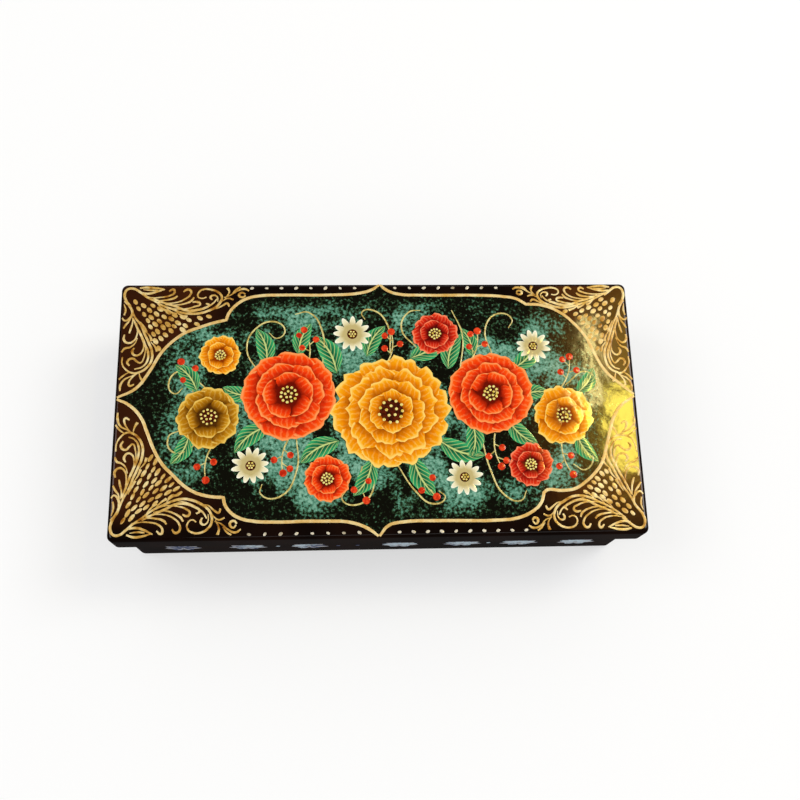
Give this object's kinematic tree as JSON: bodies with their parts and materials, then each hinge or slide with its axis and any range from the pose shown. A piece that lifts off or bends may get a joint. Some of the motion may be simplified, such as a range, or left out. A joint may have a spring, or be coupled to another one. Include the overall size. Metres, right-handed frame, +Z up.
{
  "type": "lacquered trinket box",
  "caption": "Rectangular black lacquered papier-mache box with red inside, an overhanging painted lid, a guiding collar and a brass barrel hinge let into the back.",
  "frame": {"origin": "centre of the object's footprint, on the flat underside of the bottom panel", "axes": "+X along the length of the box, to the right as seen from the front; -Y is the front and +Y the hinge side; +Z up through the lid"},
  "size_m": [0.13, 0.066, 0.03],
  "materials": {
    "black_lacquer": "papier-mache under many coats of black oil lacquer, polished to a deep gloss",
    "red_lacquer": "cinnabar-red oil lacquer, gloss",
    "hinge_brass": "drawn and filed brass, slightly dulled",
    "pin_steel": "drawn steel wire",
    "gold_paint": "burnished shell-gold paint, laid on with a fine brush",
    "tempera_paint": "egg tempera colours under clear lacquer",
    "silver_paint": "silver-blue powder paint under clear lacquer"
  },
  "bodies": {
    "body": {"bottom_panel": "black_lacquer", "wall_frame": "black_lacquer", "inner_collar": "red_lacquer", "hinge_body_leaf": "hinge_brass", "hinge_body_nails": "hinge_brass", "hinge_pin": "pin_steel"},
    "lid": {"lid_panel": "black_lacquer", "lid_frame": "black_lacquer", "hinge_lid_leaf": "hinge_brass", "hinge_lid_nails": "hinge_brass"}
  },
  "joints": [
    {"name": "lid_hinge", "type": "hinge", "parent": "body", "child": "lid", "pos_m": [0, 0.0312, 0.022], "axis": [-1, 0, 0], "range_deg": [0, 98]}
  ]
}
